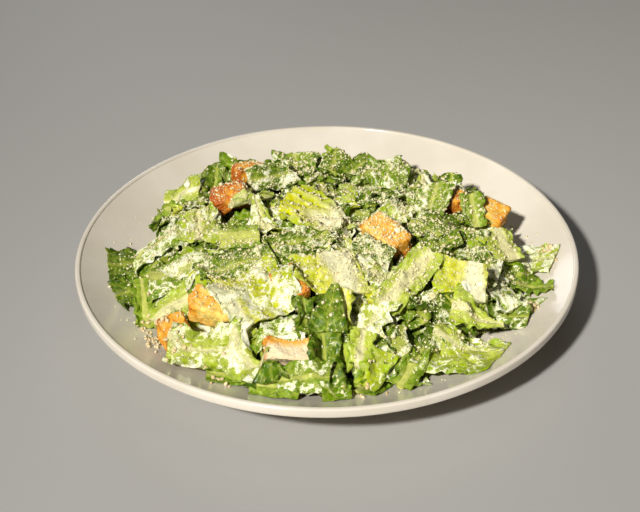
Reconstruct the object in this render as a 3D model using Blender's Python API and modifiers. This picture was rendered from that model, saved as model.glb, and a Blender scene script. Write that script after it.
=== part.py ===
"""A caesar salad on its coupe plate: the plate, the heap of dressed leaves and the croutons in it.

Metres, +Z up. The origin is on the plate's axis, at the level of its foot, so z = 0 is the table.
The front of the dish is towards -Y.
"""

import math
import random

import bmesh
import bpy
from mathutils import Euler, Matrix, Vector, noise

# Plate: a coupe plate, turned, with a flat foot ring.
RIM_RADIUS = 0.140
RIM_TOP = 0.0325
LIP_WIDTH = 0.0030
LIP_ROUND = 0.0011
OUTER_WALL_DROP = 0.0042
FLOOR_RADIUS = 0.062
FLOOR_TOP = 0.0075
WALL_POWER = 1.9
WALL_THICKNESS = 0.0048
FOOT_OUTER_RADIUS = 0.084
FOOT_INNER_RADIUS = 0.075
FOOT_HEIGHT = 0.0040
RECESS_HEIGHT = 0.0022
WALL_POINTS = 8
UNDERSIDE_POINTS = 3
TURN_STEPS = 64

# Heap: a flat-topped mound that leans on the plate's wall.
HEAP_RADIUS = 0.110
HEAP_TOP = RIM_TOP + 0.018
HEAP_EDGE_TOP = RIM_TOP - 0.006
HEAP_POWER = 3.2
HEAP_RINGS = 6
HEAP_STEPS = 36
HEAP_GAP = 0.0006
UNDERSIDE_SHARES = (0.985, 0.86, 0.72, 0.58, 0.0)

# Leaf pieces: they cover the mound and stick out at its edge, in four shallow lobes.
LEAF_COUNT = 105
LEAF_SPREAD = 0.109
LOBES = 4
LOBE_REACH = 0.0045
LOBE_TURN = math.radians(22)
LEAF_LENGTH = 0.037
LEAF_WIDTH = 0.027
LEAF_SIZES = (0.65, 1.15)
LEAF_CORNERS = 7
LEAF_RAGGED = 0.22
LEAF_TILT = 0.22
LEAF_LIFTS = (0.0005, 0.0052)
LEAF_FOLD = 0.24
LEAF_DEPTH = 0.011
LEAF_THINNEST = 0.003
SLOPE_FOLLOWED = 0.8
SLOPE_STEP = 0.004
GOLDEN_ANGLE = math.pi * (3 - math.sqrt(5))
SEED = 7

# Croutons: toasted bread cubes, pressed into the heap.
MM = 0.001
CROUTON_GAP = 0.0005
CROUTON_BEVEL = 0.0016
CROUTON_UNEVEN = 0.0022
UNEVEN_SCALE = 2.3
WORN_EDGE_ANGLE = math.radians(50)
# name: centre x, y, z in mm; length, width, height in mm; turn about Z, pitch, roll in degrees
CROUTONS = {
    "crouton_1": ((-45, 52, 50.5), (18, 14, 12), (20, 8, -10)),
    "crouton_2": ((-54, 25, 51.5), (20, 15, 13), (14, -14, 12)),
    "crouton_3": ((33, -17, 52.5), (27, 15, 13), (-50, 8, 14)),
    "crouton_4": ((-19, -59, 48.0), (21, 15, 14), (-52, 24, 12)),
    "crouton_5": ((-57, -69, 42.5), (28, 17, 15), (-14, 10, 20)),
    "crouton_6": ((-79, -78, 34.0), (16, 15, 14), (24, -8, 16)),
    "crouton_7": ((-19, -101, 37.0), (26, 14, 15), (-5, 2, 22)),
    "crouton_8": ((94, 22, 40.0), (18, 15, 13), (-30, 12, 10)),
    "crouton_9": ((72, 25, 46.5), (15, 13, 12), (15, -12, 8)),
}

# Colour as linear RGB, and roughness.
GLAZE = ((0.80, 0.74, 0.64), 0.28)
ROMAINE = ((0.33, 0.46, 0.11), 0.45)
TOAST = ((0.72, 0.36, 0.10), 0.80)


def clear_scene():
    for obj in list(bpy.data.objects):
        bpy.data.objects.remove(obj)


def new_collection(name):
    collection = bpy.data.collections.new(name)
    bpy.context.scene.collection.children.link(collection)
    return collection


def new_material(name, look):
    colour, roughness = look
    material = bpy.data.materials.new(name)
    material.use_nodes = True
    shader = material.node_tree.nodes["Principled BSDF"]
    shader.inputs["Base Color"].default_value = (*colour, 1)
    shader.inputs["Roughness"].default_value = roughness
    shader.inputs["Metallic"].default_value = 0.0
    return material


def new_object(name, bm, collection, material=None):
    mesh = bpy.data.meshes.new(name)
    bm.to_mesh(mesh)
    bm.free()
    obj = bpy.data.objects.new(name, mesh)
    collection.objects.link(obj)
    if material:
        mesh.materials.append(material)
    return obj


def new_helper(name, bm, collection):
    """A solid used only to shape others: shown as a wire and left out of the result."""
    obj = new_object(name, bm, collection)
    obj.hide_render = True
    obj.display_type = "WIRE"
    return obj


def turned(name, profile, steps, collection, material):
    """A body turned about the Z axis from its (r, z) profile."""
    bm = bmesh.new()
    points = [bm.verts.new((r, 0, z)) for r, z in profile]
    for pair in zip(points, points[1:]):
        bm.edges.new(pair)
    body = new_object(name, bm, collection, material)
    turn = body.modifiers.new("turn", "SCREW")
    turn.axis = "Z"
    turn.steps = steps
    turn.render_steps = steps
    turn.use_merge_vertices = True
    turn.merge_threshold = 0.00001
    turn.use_smooth_shade = True
    return body


def inner_height(radius):
    """Height of the plate's inner surface: a flat floor that sweeps up to the lip."""
    along = max(0.0, (radius - FLOOR_RADIUS) / (RIM_RADIUS - LIP_WIDTH - FLOOR_RADIUS))
    return FLOOR_TOP + (RIM_TOP - LIP_ROUND - FLOOR_TOP) * along**WALL_POWER


def arc(centre_r, centre_z, radius, start, end, steps):
    """Points on an arc in the profile plane, with angles in degrees from +r towards +z."""
    angles = [math.radians(start + (end - start) * i / steps) for i in range(steps + 1)]
    return [(centre_r + radius * math.cos(a), centre_z + radius * math.sin(a)) for a in angles]


def plate_profile():
    """(r, z) from the floor's middle out to the lip, over it, and down the outside to the foot."""
    lip_radius = RIM_RADIUS - LIP_WIDTH
    profile = [(0.0, FLOOR_TOP)]
    for i in range(WALL_POINTS):
        radius = FLOOR_RADIUS + (lip_radius - FLOOR_RADIUS) * i / WALL_POINTS
        profile.append((radius, inner_height(radius)))
    profile += arc(lip_radius + LIP_ROUND, RIM_TOP - LIP_ROUND, LIP_ROUND, 180, 90, 2)
    profile += arc(RIM_RADIUS - LIP_ROUND, RIM_TOP - LIP_ROUND, LIP_ROUND, 90, 0, 2)
    wall_bottom = RIM_TOP - OUTER_WALL_DROP
    profile.append((RIM_RADIUS, wall_bottom))
    profile.append((RIM_RADIUS - LIP_WIDTH / 2, wall_bottom - LIP_WIDTH / 2))
    outermost = lip_radius - LIP_WIDTH
    innermost = FOOT_OUTER_RADIUS + LIP_WIDTH
    for i in range(UNDERSIDE_POINTS):
        radius = outermost - (outermost - innermost) * i / UNDERSIDE_POINTS
        profile.append((radius, inner_height(radius) - WALL_THICKNESS))
    profile += [
        (FOOT_OUTER_RADIUS + LIP_ROUND, FOOT_HEIGHT),
        (FOOT_OUTER_RADIUS, 0.0),
        (FOOT_INNER_RADIUS, 0.0),
        (FOOT_INNER_RADIUS - LIP_ROUND, RECESS_HEIGHT),
        (0.0, RECESS_HEIGHT),
    ]
    return profile


def mound_height(radius):
    """Height of the mound's top, almost flat in the middle and steep at its edge."""
    share = min(1.0, radius / HEAP_RADIUS)
    return HEAP_EDGE_TOP + (HEAP_TOP - HEAP_EDGE_TOP) * (1 - share**HEAP_POWER)


def mound_slope(radius):
    inner = max(0.0, radius - SLOPE_STEP)
    outer = radius + SLOPE_STEP
    return (mound_height(outer) - mound_height(inner)) / (outer - inner)


def make_mound(collection, material):
    """The body of the heap, turned: its top, then its underside just clear of the plate."""
    top_radii = [HEAP_RADIUS * i / HEAP_RINGS for i in range(HEAP_RINGS + 1)]
    under_radii = [HEAP_RADIUS * share for share in UNDERSIDE_SHARES]
    profile = [(radius, mound_height(radius)) for radius in top_radii]
    profile += [(radius, inner_height(radius) + HEAP_GAP) for radius in under_radii]
    mound = turned("salad_heap", profile, HEAP_STEPS, collection, material)
    mound.modifiers["turn"].use_smooth_shade = False
    return mound


def leaf_block(middle, turn, size, lean, lift, chance):
    """A chopped leaf piece, folded down along both sides of its rib and carried down into the mound.

    It is a prism of LEAF_CORNERS uneven sides; at the heap's edge it stops just above the plate.
    """
    along = Vector((math.cos(turn), math.sin(turn)))
    across = Vector((-along.y, along.x))
    reaches = [1 + LEAF_RAGGED * chance.uniform(-1, 1) for _ in range(LEAF_CORNERS)]
    bm = bmesh.new()
    bmesh.ops.create_cone(
        bm, cap_ends=True, cap_tris=True, segments=LEAF_CORNERS, radius1=1.0, radius2=1.0, depth=2.0
    )
    for vertex in bm.verts:
        corner = round(math.atan2(vertex.co.y, vertex.co.x) / math.tau * LEAF_CORNERS) % LEAF_CORNERS
        u = vertex.co.x * reaches[corner] * size[0] / 2
        v = vertex.co.y * reaches[corner] * size[1] / 2
        place = middle + along * u + across * v
        rest = inner_height(place.length) + HEAP_GAP
        top = mound_height(middle.length) + lift + lean.dot(place - middle) - LEAF_FOLD * abs(v)
        top = max(top, rest + LEAF_THINNEST)
        bottom = max(rest, top - LEAF_DEPTH)
        vertex.co = (place.x, place.y, top if vertex.co.z > 0 else bottom)
    bmesh.ops.triangulate(bm, faces=bm.faces)
    return bm


def make_leaf_blocks(collection):
    """Leaf pieces spread over the mound by the golden angle, each turned and leaning its own way."""
    chance = random.Random(SEED)
    for i in range(LEAF_COUNT):
        angle = i * GOLDEN_ANGLE
        reach = LEAF_SPREAD + LOBE_REACH * math.cos(LOBES * (angle - LOBE_TURN))
        radius = reach * math.sqrt((i + 0.5) / LEAF_COUNT)
        outwards = Vector((math.cos(angle), math.sin(angle)))
        lean = outwards * mound_slope(radius) * SLOPE_FOLLOWED
        lean += Vector((chance.uniform(-1, 1), chance.uniform(-1, 1))) * LEAF_TILT
        size = (LEAF_LENGTH * chance.uniform(*LEAF_SIZES), LEAF_WIDTH * chance.uniform(*LEAF_SIZES))
        lift = chance.uniform(*LEAF_LIFTS)
        turn = chance.uniform(0, math.pi)
        bm = leaf_block(outwards * radius, turn, size, lean, lift, chance)
        new_helper(f"leaf_block_{i + 1}", bm, collection)


def crouton_mesh(size, seed, gap):
    """A bread cube with uneven faces and worn edges, enlarged about its centre by a gap all round."""
    bm = bmesh.new()
    bmesh.ops.create_cube(bm, size=1.0)
    bmesh.ops.subdivide_edges(bm, edges=bm.edges, cuts=1, use_grid_fill=True)
    for vertex in bm.verts:
        spot = vertex.co * UNEVEN_SCALE
        wobble = Vector(noise.noise(spot + Vector((seed * 5.1, axis * 11.7, 0.4))) for axis in range(3))
        vertex.co = Vector(c * s * MM for c, s in zip(vertex.co, size)) + wobble * CROUTON_UNEVEN
    bmesh.ops.bevel(
        bm,
        geom=[edge for edge in bm.edges if edge.calc_face_angle() > WORN_EDGE_ANGLE],
        offset=CROUTON_BEVEL,
        segments=1,
        affect="EDGES",
        clamp_overlap=True,
    )
    bmesh.ops.triangulate(bm, faces=bm.faces)
    bmesh.ops.recalc_face_normals(bm, faces=bm.faces)
    bmesh.ops.scale(bm, verts=bm.verts, vec=[1 + 2 * gap / (s * MM) for s in size])
    return bm


def make_croutons(collection, hollows, material):
    """The croutons, and for each a slightly larger solid that hollows out its bed in the heap."""
    for number, (name, (centre, size, turns)) in enumerate(CROUTONS.items(), start=1):
        yaw, pitch, roll = (math.radians(t) for t in turns)
        place = Matrix.Translation(Vector(centre) * MM) @ Euler((roll, pitch, yaw)).to_matrix().to_4x4()
        crouton = new_object(name, crouton_mesh(size, number, 0.0), collection, material)
        crouton.matrix_world = place
        hollow = new_helper(f"hollow_{number}", crouton_mesh(size, number, CROUTON_GAP), hollows)
        hollow.matrix_world = place


def combine(body, helpers, operation):
    step = body.modifiers.new(helpers.name, "BOOLEAN")
    step.operation = operation
    step.solver = "EXACT"
    step.operand_type = "COLLECTION"
    step.collection = helpers


def main():
    clear_scene()
    dish = new_collection("caesar_salad")
    leaf_blocks = new_collection("leaf_blocks")
    hollows = new_collection("hollows")
    turned("plate", plate_profile(), TURN_STEPS, dish, new_material("bone_glaze", GLAZE))
    heap = make_mound(dish, new_material("dressed_romaine", ROMAINE))
    make_leaf_blocks(leaf_blocks)
    make_croutons(dish, hollows, new_material("toasted_bread", TOAST))
    combine(heap, leaf_blocks, "UNION")
    combine(heap, hollows, "DIFFERENCE")


main()
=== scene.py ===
"""Looks of a caesar salad on its plate: dressed romaine, croutons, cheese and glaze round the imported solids.

Lengths are in millimetres until a mesh is made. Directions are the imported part's: +Z up, front -Y.
"""

import math
import random
from functools import partial
from typing import NamedTuple

import bpy
import numpy as np
from mathutils import Matrix, Vector
from mathutils.bvhtree import BVHTree


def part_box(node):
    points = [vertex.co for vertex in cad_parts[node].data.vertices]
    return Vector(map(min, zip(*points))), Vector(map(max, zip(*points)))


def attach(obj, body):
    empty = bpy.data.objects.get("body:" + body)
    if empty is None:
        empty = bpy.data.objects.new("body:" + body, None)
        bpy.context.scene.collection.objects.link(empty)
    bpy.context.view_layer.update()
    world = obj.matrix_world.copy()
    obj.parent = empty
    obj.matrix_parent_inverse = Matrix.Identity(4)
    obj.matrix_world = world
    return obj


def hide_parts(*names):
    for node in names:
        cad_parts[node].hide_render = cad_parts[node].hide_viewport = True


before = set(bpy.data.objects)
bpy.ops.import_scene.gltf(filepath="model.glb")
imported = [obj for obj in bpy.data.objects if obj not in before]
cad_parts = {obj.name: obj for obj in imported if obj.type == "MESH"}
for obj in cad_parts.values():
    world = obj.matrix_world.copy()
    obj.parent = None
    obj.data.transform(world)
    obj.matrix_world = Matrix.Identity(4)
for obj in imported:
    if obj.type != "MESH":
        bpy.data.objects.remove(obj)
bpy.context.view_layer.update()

MM = 0.001
PLATE_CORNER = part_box("plate")[1]
RIM_RADIUS = PLATE_CORNER.x / MM
RIM_TOP = PLATE_CORNER.z / MM
CROUTONS = sorted(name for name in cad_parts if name.startswith("crouton"))

# Plate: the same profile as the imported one, with finer steps.
LIP_WIDTH = 3.0
LIP_ROUND = 1.1
OUTER_WALL_DROP = 4.2
FLOOR_RADIUS = 62.0
FLOOR_TOP = 7.5
WALL_POWER = 1.9
WALL_THICKNESS = 4.8
FOOT_OUTER_RADIUS = 84.0
FOOT_INNER_RADIUS = 75.0
FOOT_HEIGHT = 4.0
FOOT_BEVEL = 0.6
RECESS_HEIGHT = 2.2
PLATE_TURNS = 224

# Heap: how high the leaves are piled, its lobed outline, and the smaller core under the leaves.
HEAP_RADIUS = 110.0
HEAP_TOP = RIM_TOP + 18.5
HEAP_EDGE_TOP = RIM_TOP - 6.0
HEAP_POWER = 3.2
HEAP_LIMIT = 62.5
LOBES = 4
LOBE_REACH = 4.5
LOBE_TURN = math.radians(22)
CORE_RADIUS = 100.0
CORE_BELOW = 8.5
CORE_POWER = 3.0
CORE_STEPS = 34
CORE_TURNS = 150
MAP_CELL = 1.25
MAP_REACH = 145.0

# How many there are of each random thing.
SKIRT_LEAVES = 46
BODY_LEAVES = 80
COVER_LEAVES = 105
SCRAPS = 90
DRESSING_DROPS = 16
CHEESE_GRAINS = 23500

SEED = 12
GOLDEN_ANGLE = math.pi * (3 - math.sqrt(5))


def srgb(*levels):
    """Screen values of red, green and blue, 0 to 255, as the linear values that shaders use."""
    shares = [level / 255 for level in levels]
    return tuple(((s + 0.055) / 1.055) ** 2.4 if s > 0.04 else s / 12.92 for s in shares)


# ---- noise


def fade(t):
    return t * t * t * (t * (t * 6 - 15) + 10)


def smoothstep(low, high, value):
    t = np.clip((value - low) / (high - low), 0, 1)
    return t * t * (3 - 2 * t)


def lattice(ix, iy, seed):
    """A repeatable number from 0 to 1 for each lattice point."""
    mixed = (ix.astype(np.int64) * 374761393 + iy.astype(np.int64) * 668265263 + seed * 974711) & 0xFFFFFFFF
    mixed = ((mixed ^ (mixed >> 13)) * 1274126177) & 0xFFFFFFFF
    return ((mixed ^ (mixed >> 16)) & 0xFFFF) / 65535.0


def noise2(x, y, seed=0):
    """Smooth noise over a plane, about -1 to 1, with features one unit across."""
    x, y = np.broadcast_arrays(x, y)
    ix, iy = np.floor(x), np.floor(y)
    fx, fy = x - ix, y - iy
    total = 0.0
    for dx in (0, 1):
        for dy in (0, 1):
            angle = lattice(ix + dx, iy + dy, seed) * math.tau
            weight = fade(1 - np.abs(fx - dx)) * fade(1 - np.abs(fy - dy))
            total = total + weight * (np.cos(angle) * (fx - dx) + np.sin(angle) * (fy - dy))
    return 1.5 * total


def cells2(x, y, seed=0):
    """Distance from the borders of a net of irregular cells one unit across: 0 on a border."""
    ix, iy = np.floor(x), np.floor(y)
    nearest = np.full(x.shape, 9.0)
    second = np.full(x.shape, 9.0)
    for dx in (-1, 0, 1):
        for dy in (-1, 0, 1):
            px = ix + dx + lattice(ix + dx, iy + dy, seed)
            py = iy + dy + lattice(ix + dx, iy + dy, seed + 7)
            distance = np.hypot(px - x, py - y)
            second = np.minimum(second, np.maximum(nearest, distance))
            nearest = np.minimum(nearest, distance)
    return second - nearest


# ---- the heap's shape


def inner_height(radius):
    """Height of the plate's inner surface: a flat floor that sweeps up to the lip."""
    along = np.maximum(0.0, (radius - FLOOR_RADIUS) / (RIM_RADIUS - LIP_WIDTH - FLOOR_RADIUS))
    return FLOOR_TOP + (RIM_TOP - LIP_ROUND - FLOOR_TOP) * np.minimum(along, 1.0) ** WALL_POWER


def mound_height(radius):
    """The height that the leaves are piled up to."""
    share = np.minimum(1.0, radius / HEAP_RADIUS)
    return HEAP_EDGE_TOP + (HEAP_TOP - HEAP_EDGE_TOP) * (1 - share**HEAP_POWER)


def core_height(radius):
    """Height of the core's top, and below the plate where there is no core."""
    share = np.minimum(1.0, radius / CORE_RADIUS)
    crown = FLOOR_TOP + (HEAP_TOP - CORE_BELOW - FLOOR_TOP) * (1 - share**CORE_POWER)
    return np.where(radius < CORE_RADIUS, crown, -1.0)


def edge_reach(angle):
    """How far the heap reaches from the middle in a direction."""
    return HEAP_RADIUS + LOBE_REACH * math.cos(LOBES * (angle - LOBE_TURN))


def random_place(chance, inset):
    """A place on the heap, all parts equally likely, this far inside its edge: its reach, x and y."""
    angle = chance.uniform(0, math.tau)
    reach = (edge_reach(angle) - inset) * math.sqrt(chance.uniform(0, 1))
    return reach, reach * math.cos(angle), reach * math.sin(angle)


class HeapMap:
    """Height of what lies in the plate so far, on a square grid seen from above."""

    def __init__(self):
        side = np.arange(-MAP_REACH, MAP_REACH + MAP_CELL, MAP_CELL)
        self.x, self.y = np.meshgrid(side, side, indexing="ij")
        radius = np.hypot(self.x, self.y)
        self.height = np.maximum(inner_height(radius), core_height(radius))

    def cell(self, x, y):
        last = self.height.shape[0] - 1
        i = np.clip(np.rint((x + MAP_REACH) / MAP_CELL).astype(int), 0, last)
        j = np.clip(np.rint((y + MAP_REACH) / MAP_CELL).astype(int), 0, last)
        return i, j

    def under(self, x, y):
        return self.height[self.cell(x, y)]

    def add(self, points):
        np.maximum.at(self.height, self.cell(points[..., 0], points[..., 1]), points[..., 2])

    def cover(self, tree):
        """Raises the map to the tops of the solid things in a search tree."""
        for cell in np.ndindex(self.height.shape):
            start = Vector((self.x[cell], self.y[cell], 2 * HEAP_LIMIT)) * MM
            spot, _, _, _ = tree.ray_cast(start, Vector((0, 0, -1)))
            if spot is not None:
                self.height[cell] = max(self.height[cell], spot.z / MM)

    def mean(self, x, y, reach):
        """Mean height at 24 spots within reach of a point, and the slope there as rise along X and Y."""
        angles = np.arange(24) * math.tau / 24
        rings = np.repeat([0.35 * reach, 0.7 * reach, reach], 8)
        dx, dy = rings * np.cos(angles * 3.3), rings * np.sin(angles * 3.3)
        heights = self.under(x + dx, y + dy)
        level = heights.mean()
        rise_x = (dx * (heights - level)).sum() / (dx * dx).sum()
        rise_y = (dy * (heights - level)).sum() / (dy * dy).sum()
        return level, rise_x, rise_y


# Where the grated cheese fell thickest: place and reach in mm, and how thick. The last spot is nearly bare.
CHEESE_DRIFTS = (
    (-12, 36, 20, 1.3), (16, -27, 17, 1.6), (36, -38, 16, 1.1), (30, -66, 13, 0.6), (-46, -33, 17, 1.1),
    (-70, 8, 16, 0.5), (60, 4, 22, 0.55), (74, 41, 14, 0.4), (-37, 26, 14, 0.4), (33, 28, 20, 0.7),
    (-96, -4, 18, 0.3), (92, -30, 22, 0.4), (58, -84, 20, 0.3), (-74, -80, 22, 0.3), (-6, 6, 19, -0.6),
)


CHEESE_EVERYWHERE = 0.04


def cheese_thickness(x, y):
    """How thickly the grated cheese lies, from 0 to 1."""
    thick = np.full(np.shape(x), CHEESE_EVERYWHERE)
    for drift_x, drift_y, reach, weight in CHEESE_DRIFTS:
        thick = thick + weight * np.exp(-((x - drift_x) ** 2 + (y - drift_y) ** 2) / reach**2)
    patchy = 0.7 + 0.6 * noise2(x / 7, y / 7, 32) + 0.3 * noise2(x / 2.5, y / 2.5, 33)
    return np.clip(thick * patchy, 0, 1)


# ---- leaves


class Kind(NamedTuple):
    """One sort of sheet: romaine, from the deep green outside to the yellow heart, or a drop of dressing."""

    blade: tuple
    margin: tuple
    rib: tuple
    blister: float
    thickness: float = 0.55


CREAM = srgb(252, 251, 226)
CHEESE = srgb(243, 236, 192)
CHEESE_DEEP = srgb(226, 208, 152)
KINDS = {
    "dark": Kind(srgb(78, 118, 0), srgb(40, 78, 0), srgb(190, 200, 84), 0.8),
    "mid": Kind(srgb(122, 158, 0), srgb(80, 126, 0), srgb(216, 220, 112), 0.75),
    "pale": Kind(srgb(190, 207, 14), srgb(150, 186, 0), srgb(250, 244, 182), 0.6),
    "heart": Kind(srgb(226, 224, 6), srgb(190, 208, 0), srgb(255, 250, 206), 0.5),
    "dressing": Kind(CREAM, CREAM, CREAM, 0.0, thickness=0.8),
}
ROMAINE = ("dark", "mid", "pale", "heart")


class Leaf(NamedTuple):
    """A chopped piece of romaine. Its rib runs along its length; lengths in mm, angles in degrees."""

    kind: str
    x: float
    y: float
    turn: float  # the way the tip points, from +X
    length: float
    width: float
    rise: float = 0  # tip up
    roll: float = 0  # left side up, looking along the rib
    bend: float = 0  # along the rib, ends up
    cup: float = 0  # across it, sides up
    fold: float = 0  # sharply up on both sides of the rib
    twist: float = 0
    frill: float = 1.6  # height of the ruffles at the margins
    rib: float = 3.0  # half the rib's width
    rib_high: float = 1.6
    rib_at: float = 0  # place across the leaf, -1 right to 1 left
    shape: str = "cut"
    film: float = 0.5  # how much dressing
    lift: float = 0
    soft: float = 0.45  # how far it sags on to what is below
    hug: bool = False  # tilted with the heap's slope
    limit: float = HEAP_LIMIT  # the highest it may reach


# Grid steps of a leaf that is mostly hidden, of a scrap and of a leaf that stands out.
BURIED_STEP = 1.4
SCRAP_STEP = 1.0
SHOWN_STEP = 0.85

# Relief of a leaf.
BLISTER_LONG = 5.0
BLISTER_WIDE = 3.6
VEIN_SPACING = 6.5
VEIN_SLANT = 0.75
VEIN_WIDTH = 0.75
RUFFLE_LENGTH = 10.5
FILM_THICKNESS = 0.4
UNDERSIDE_FILM = 0.6
BLOB_ROUGHNESS = 8.0

# How a leaf comes to rest: the share of it that may sink in, the gaps kept, how it is pushed up and sags
# with its neighbours, and the part of its length over which the heap's slope is taken.
SUNK_PERCENT = 16
REST_GAP = 0.2
PLATE_GAP = 0.3
PUSH = 1.15
PUSH_SMOOTHING = 3
SAG_SMOOTHING = 8
HUG_REACH = 0.45

# Edges sharper than these stay sharp in the shading: in leaves, and in turned bodies.
CREASE_ANGLE = math.radians(60)
TURNED_CREASE_ANGLE = math.radians(40)


def outline(shape, u):
    """Share of the full width at each place along the leaf, from its cut end to its tip."""
    if shape == "fan":
        return 0.40 + 0.60 * np.sin(math.pi / 2 * np.minimum(1, 1.3 * u + 0.05))
    if shape == "tip":
        return (0.82 + 0.3 * u) * np.maximum(0.0, 1 - u**3.2) ** 0.62 + 0.06
    if shape == "wedge":
        return 1.0 - 0.86 * u
    if shape == "blob":
        return np.sqrt(np.maximum(0.0, 1 - (2 * u - 1) ** 2)) + 0.02
    return 1.0 - 0.04 * np.abs(2 * u - 1) ** 7


def smooth_grid(values, times):
    """Averages a grid with its neighbours a number of times."""
    for _ in range(times):
        padded = np.pad(values, 1, mode="edge")
        values = (padded[:-2, 1:-1] + padded[2:, 1:-1] + padded[1:-1, :-2] + padded[1:-1, 2:]) / 4
    return values


def rotation(turn, rise, roll):
    """Turned about Z, then its tip raised, then rolled about its own length."""
    turned = Matrix.Rotation(math.radians(turn), 3, "Z")
    raised = Matrix.Rotation(math.radians(-rise), 3, "Y")
    rolled = Matrix.Rotation(math.radians(roll), 3, "X")
    return np.array(turned @ raised @ rolled)


def slope_rotation(rise_x, rise_y):
    """The least turn that lays a level thing on a slope."""
    normal = Vector((-rise_x, -rise_y, 1)).normalized()
    return np.array(Vector((0, 0, 1)).rotation_difference(normal).to_matrix())


class Sheet:
    """The flat pattern of a leaf: where each grid point is along and across, and its relief."""

    def __init__(self, leaf, seed, step):
        left = leaf.width * (1 + leaf.rib_at) / 2
        right = leaf.width - left
        columns_left = max(2, round(left / step))
        columns_right = max(2, round(right / step))
        rows = max(7, round(leaf.length / step)) + 1
        w = np.concatenate([np.linspace(-1, 0, columns_left + 1), np.linspace(0, 1, columns_right + 1)[1:]])
        u = np.linspace(0, 1, rows)[:, None]
        self.u, self.w = np.broadcast_arrays(u, w[None, :])
        self.row = leaf.length * (self.u - 0.5)
        reach = np.where(self.w < 0, left, right)
        side = np.sign(self.w)
        rough = BLOB_ROUGHNESS if leaf.shape == "blob" else 1.0
        ragged = 1 + rough * 0.06 * noise2(self.row / (9 / rough**0.6), side * 5, seed)
        ragged = ragged + rough * 0.025 * noise2(self.row / 2.6, side * 9, seed + 1)
        taper = 1 + 0.45 * (self.u - 0.5) * noise2(np.float64(seed * 0.61), 0.5, seed + 15)
        self.across = self.w * reach * outline(leaf.shape, self.u) * ragged * taper
        self.along = self.cut_ends(leaf, seed)
        self.dusting = min(1.0, max(0.0, 0.25 + 1.5 * leaf.film))
        self.relief(leaf, seed)

    def noise(self, long, wide, seed):
        """Noise with features of this size in mm along and across the leaf."""
        return noise2(self.along / long, self.across / wide, seed)

    def cut_ends(self, leaf, seed):
        """Place along the leaf: its ends are cut aslant and a little torn, and a tip is rounded."""
        slant = 0.45 * noise2(np.float64(seed * 0.37), 0.5, seed + 2)
        skew = slant + 0.35 * noise2(self.u * 1.5, 3.7, seed + 2)
        ends = np.abs(2 * self.u - 1) ** 3
        torn = 0.8 * noise2(self.across / 8, self.u * 2, seed + 3) + 0.3 * noise2(self.across / 2, 9.1, seed)
        along = self.row + self.across * skew + ends * torn
        if leaf.shape in ("fan", "tip"):
            along = along - 0.30 * leaf.width / 2 * self.w**2 * self.u**2
        return along

    def relief(self, leaf, seed):
        """Rib, blisters, ruffles and dressing at each grid point."""
        from_rib = np.abs(self.across)
        self.ribbed = np.zeros(self.w.shape)
        keel = 0.0
        if leaf.rib:
            slimmer = 1.15 - 0.5 * self.u
            width = leaf.rib * slimmer
            self.ribbed = 1 - smoothstep(0.55, 1.15, from_rib / np.maximum(width, 0.3))
            hump = np.maximum(0.0, 1 - (from_rib / np.maximum(width * 1.25, 0.3)) ** 2)
            keel = leaf.rib_high * slimmer * hump
        plain = 1 - self.ribbed
        mound = self.blisters(from_rib, seed)
        ruffle = self.ruffles(leaf, seed)
        pool = self.noise(10, 8, seed + 9) + 0.5 * self.noise(4, 4, seed)
        film = 1.6 * leaf.film - 0.85 + 0.7 * pool + 0.30 * (1 - mound) * plain
        self.film = smoothstep(-0.25, 0.85, film)
        self.crest = mound * plain + 0.6 * self.ribbed
        filled = np.maximum(mound, 0.75 * smoothstep(0.45, 1.0, self.film))
        creases = np.abs(noise2(self.along / 15, self.across / 9 + self.along / 30, seed + 8))
        crumple = 2.4 * creases + self.noise(11, 10, seed + 16)
        raised = KINDS[leaf.kind].blister * filled + ruffle
        self.height = plain * raised + crumple * (0.3 + 0.7 * plain)
        self.find_faces(leaf, keel)

    def blisters(self, from_rib, seed):
        """Finds the veins, and gives how high the blade is puffed between them, from 0 to 1."""
        net = cells2(self.along / BLISTER_LONG, self.across / BLISTER_WIDE, seed)
        phase = (self.along - VEIN_SLANT * from_rib + 1.2 * self.noise(9, 9, seed + 4)) / VEIN_SPACING
        off_vein = np.abs(phase - np.floor(phase) - 0.5) * VEIN_SPACING
        side_vein = np.exp(-((off_vein / VEIN_WIDTH) ** 2)) * (1 - 0.5 * np.abs(self.w))
        self.vein = np.clip(np.maximum(side_vein, 0.75 * (1 - smoothstep(0.02, 0.20, net))), 0, 1)
        return smoothstep(0.0, 0.55, net) * (1 - 0.75 * side_vein)

    def ruffles(self, leaf, seed):
        """Height of the waves at the margins and, in a fan, of the pleats, whose crests are veins and whose
        valleys get a darker green with painted shade.
        """
        self.valley_green_and_shade = np.zeros(self.w.shape)
        margin = np.abs(self.w) ** 3
        if leaf.shape in ("fan", "tip"):
            margin = np.maximum(margin, self.u**4)
        wander = 0.8 * noise2(self.along / 12, self.w * 2, seed + 5)
        wave = np.sin(math.tau * (self.along / RUFFLE_LENGTH + wander))
        wave = wave * np.sign(self.w + 1e-6) + 0.9 * self.noise(5, 8, seed + 6)
        if leaf.shape == "fan":
            pleats = np.sin(math.tau * (2.6 * self.w + 0.4 * noise2(self.w * 2, self.u * 1.5, seed + 17)))
            wave = 0.4 * wave + 0.9 * pleats * smoothstep(0.3, 0.9, self.u) / np.maximum(margin, 0.25)
            self.vein = np.maximum(self.vein * 0.4, smoothstep(0.55, 0.95, pleats))
            # Pleat valleys: marked for a greener blade and for painted shade.
            self.valley_green_and_shade = smoothstep(0.2, 0.9, -pleats) * smoothstep(0.25, 0.6, self.u)
        return leaf.frill * margin * wave

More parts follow.
